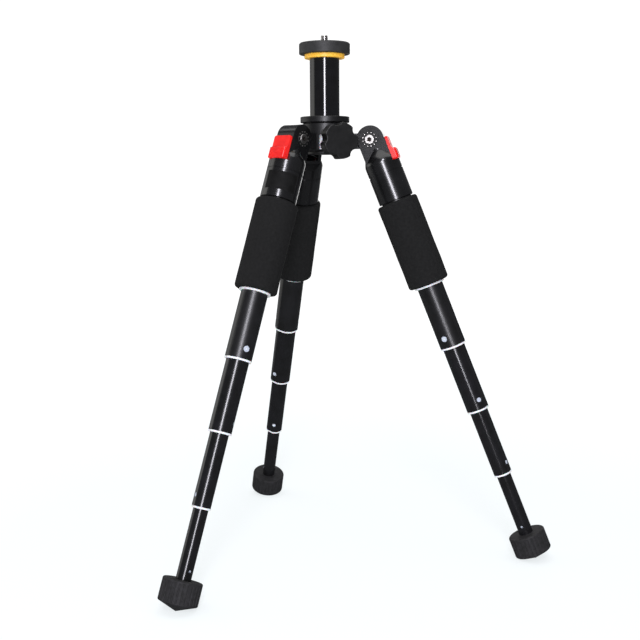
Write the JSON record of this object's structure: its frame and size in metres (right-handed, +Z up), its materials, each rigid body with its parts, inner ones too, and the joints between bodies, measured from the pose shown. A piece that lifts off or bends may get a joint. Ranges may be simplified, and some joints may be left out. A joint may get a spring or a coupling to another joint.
{
  "type": "mini tripod",
  "caption": "Compact tripod with telescoping twist-lock legs, foam grips, red angle tabs, a short sliding column and a camera screw.",
  "frame": {"origin": "floor level, on the column axis", "axes": "+Z up along the column, -Y towards the clamp knob (front), +X to the right seen from the front"},
  "size_m": [0.3544, 0.3113, 0.4612],
  "materials": {
    "black_coated_casting": "satin black powder coat on cast aluminium",
    "black_anodised_tube": "gloss black anodised",
    "bare_aluminium": "machined",
    "white_nylon": "smooth moulded nylon",
    "black_foam": "matte closed-cell foam",
    "black_rubber": "matte moulded rubber",
    "red_plastic": "satin red moulding",
    "black_knob_plastic": "fine-textured moulding",
    "black_cap_plastic": "moulded",
    "orange_anodised": "orange anodised",
    "matte_black_plate": "matte black",
    "plated_steel": "bright plated",
    "toothed_steel": "blackened, teeth worn bright",
    "spring_steel": "plain"
  },
  "bodies": {
    "hub": {"hub_casting": "black_coated_casting", "collar_ring": "black_coated_casting", "pivot_barrels": "plated_steel", "pivot_screws": "plated_steel", "pivot_washers": "toothed_steel"},
    "column_swivel": {"column_liner": "white_nylon"},
    "column": {"column_tube": "black_anodised_tube", "column_bottom_cap": "black_cap_plastic", "column_top_plug": "bare_aluminium", "column_top_ring": "orange_anodised", "head_plate": "matte_black_plate", "camera_screw": "plated_steel"},
    "clamp_pad": {"brake_pad": "white_nylon"},
    "clamp_knob": {"clamp_knob": "black_knob_plastic", "clamp_stud": "plated_steel"},
    "left_leg": {"left_leg_casting": "black_coated_casting", "left_foam_grip": "black_foam", "left_tube_1": "black_anodised_tube", "left_bush_1": "white_nylon", "left_tab_spring": "spring_steel"},
    "left_tab": {"left_angle_tab": "red_plastic"},
    "left_section_2": {"left_tube_2": "black_anodised_tube", "left_bush_2": "white_nylon"},
    "left_section_3": {"left_tube_3": "black_anodised_tube", "left_bush_3": "white_nylon"},
    "left_section_4": {"left_tube_4": "black_anodised_tube", "left_bush_4": "white_nylon"},
    "left_lock": {"left_rod_collet": "white_nylon"},
    "left_foot": {"left_foot_rod": "black_anodised_tube", "left_foot": "black_rubber"},
    "right_leg": {"right_leg_casting": "black_coated_casting", "right_foam_grip": "black_foam", "right_tube_1": "black_anodised_tube", "right_bush_1": "white_nylon", "right_tab_spring": "spring_steel"},
    "right_tab": {"right_angle_tab": "red_plastic"},
    "right_section_2": {"right_tube_2": "black_anodised_tube", "right_bush_2": "white_nylon"},
    "right_section_3": {"right_tube_3": "black_anodised_tube", "right_bush_3": "white_nylon"},
    "right_section_4": {"right_tube_4": "black_anodised_tube", "right_bush_4": "white_nylon"},
    "right_lock": {"right_rod_collet": "white_nylon"},
    "right_foot": {"right_foot_rod": "black_anodised_tube", "right_foot": "black_rubber"},
    "rear_leg": {"rear_leg_casting": "black_coated_casting", "rear_foam_grip": "black_foam", "rear_tube_1": "black_anodised_tube", "rear_bush_1": "white_nylon", "rear_tab_spring": "spring_steel"},
    "rear_tab": {"rear_angle_tab": "red_plastic"},
    "rear_section_2": {"rear_tube_2": "black_anodised_tube", "rear_bush_2": "white_nylon"},
    "rear_section_3": {"rear_tube_3": "black_anodised_tube", "rear_bush_3": "white_nylon"},
    "rear_section_4": {"rear_tube_4": "black_anodised_tube", "rear_bush_4": "white_nylon"},
    "rear_lock": {"rear_rod_collet": "white_nylon"},
    "rear_foot": {"rear_foot_rod": "black_anodised_tube", "rear_foot": "black_rubber"}
  },
  "joints": [
    {"name": "column_turn", "type": "hinge", "parent": "hub", "child": "column_swivel", "pos_m": [0, 0, 0.37], "axis": [0, 0, 1], "continuous": true},
    {"name": "column_slide", "type": "slide", "parent": "column_swivel", "child": "column", "axis": [0, 0, -1], "range_m": [0, 0.0499]},
    {"name": "pad_travel", "type": "slide", "parent": "hub", "child": "clamp_pad", "axis": [0, -1, 0], "range_m": [0, 0.00187]},
    {"name": "knob_turn", "type": "hinge", "parent": "clamp_pad", "child": "clamp_knob", "pos_m": [0, -0.03, 0.3697], "axis": [0, -1, 0], "range_deg": [0, 540]},
    {"name": "left_leg_fold", "type": "hinge", "parent": "hub", "child": "left_leg", "pos_m": [-0.03499, -0.0202, 0.37116], "axis": [-0.5, 0.866, 0], "range_deg": [-21.5, 60]},
    {"name": "left_tab_pull", "type": "slide", "parent": "left_leg", "child": "left_tab", "axis": [-0.8054, -0.465, 0.3676], "range_m": [0, 0.0035], "stiffness_N_per_m": 800, "deforming": ["left_tab_spring"]},
    {"name": "left_slide_2", "type": "slide", "parent": "left_leg", "child": "left_section_2", "axis": [0.3184, 0.1838, 0.93], "range_m": [0, 0.056]},
    {"name": "left_slide_3", "type": "slide", "parent": "left_section_2", "child": "left_section_3", "axis": [0.3184, 0.1838, 0.93], "range_m": [0, 0.059]},
    {"name": "left_slide_4", "type": "slide", "parent": "left_section_3", "child": "left_section_4", "axis": [0.3184, 0.1838, 0.93], "range_m": [0, 0.0595]},
    {"name": "left_slide_5", "type": "slide", "parent": "left_section_4", "child": "left_lock", "axis": [0.3184, 0.1838, 0.93], "range_m": [0, 0.0565]},
    {"name": "left_foot_twist", "type": "hinge", "parent": "left_lock", "child": "left_foot", "pos_m": [-0.15758, -0.09098, 0.01851], "axis": [0.3184, 0.1838, 0.93], "range_deg": [0, 120]},
    {"name": "right_leg_fold", "type": "hinge", "parent": "hub", "child": "right_leg", "pos_m": [0.03499, -0.0202, 0.37116], "axis": [-0.5, -0.866, 0], "range_deg": [-21.5, 60]},
    {"name": "right_tab_pull", "type": "slide", "parent": "right_leg", "child": "right_tab", "axis": [0.8054, -0.465, 0.3676], "range_m": [0, 0.0035], "stiffness_N_per_m": 800, "deforming": ["right_tab_spring"]},
    {"name": "right_slide_2", "type": "slide", "parent": "right_leg", "child": "right_section_2", "axis": [-0.3184, 0.1838, 0.93], "range_m": [0, 0.056]},
    {"name": "right_slide_3", "type": "slide", "parent": "right_section_2", "child": "right_section_3", "axis": [-0.3184, 0.1838, 0.93], "range_m": [0, 0.059]},
    {"name": "right_slide_4", "type": "slide", "parent": "right_section_3", "child": "right_section_4", "axis": [-0.3184, 0.1838, 0.93], "range_m": [0, 0.0595]},
    {"name": "right_slide_5", "type": "slide", "parent": "right_section_4", "child": "right_lock", "axis": [-0.3184, 0.1838, 0.93], "range_m": [0, 0.0565]},
    {"name": "right_foot_twist", "type": "hinge", "parent": "right_lock", "child": "right_foot", "pos_m": [0.15758, -0.09098, 0.01851], "axis": [-0.3184, 0.1838, 0.93], "range_deg": [0, 120]},
    {"name": "rear_leg_fold", "type": "hinge", "parent": "hub", "child": "rear_leg", "pos_m": [0, 0.0404, 0.37116], "axis": [1, 0, 0], "range_deg": [-21.5, 60]},
    {"name": "rear_tab_pull", "type": "slide", "parent": "rear_leg", "child": "rear_tab", "axis": [0, 0.93, 0.3676], "range_m": [0, 0.0035], "stiffness_N_per_m": 800, "deforming": ["rear_tab_spring"]},
    {"name": "rear_slide_2", "type": "slide", "parent": "rear_leg", "child": "rear_section_2", "axis": [0, -0.3676, 0.93], "range_m": [0, 0.056]},
    {"name": "rear_slide_3", "type": "slide", "parent": "rear_section_2", "child": "rear_section_3", "axis": [0, -0.3676, 0.93], "range_m": [0, 0.059]},
    {"name": "rear_slide_4", "type": "slide", "parent": "rear_section_3", "child": "rear_section_4", "axis": [0, -0.3676, 0.93], "range_m": [0, 0.0595]},
    {"name": "rear_slide_5", "type": "slide", "parent": "rear_section_4", "child": "rear_lock", "axis": [0, -0.3676, 0.93], "range_m": [0, 0.0565]},
    {"name": "rear_foot_twist", "type": "hinge", "parent": "rear_lock", "child": "rear_foot", "pos_m": [0, 0.18196, 0.01851], "axis": [0, -0.3676, 0.93], "range_deg": [0, 120]}
  ],
  "couplings": [
    {"joint": "knob_turn", "follows": "pad_travel", "rad_per_m": 5026.5}
  ]
}
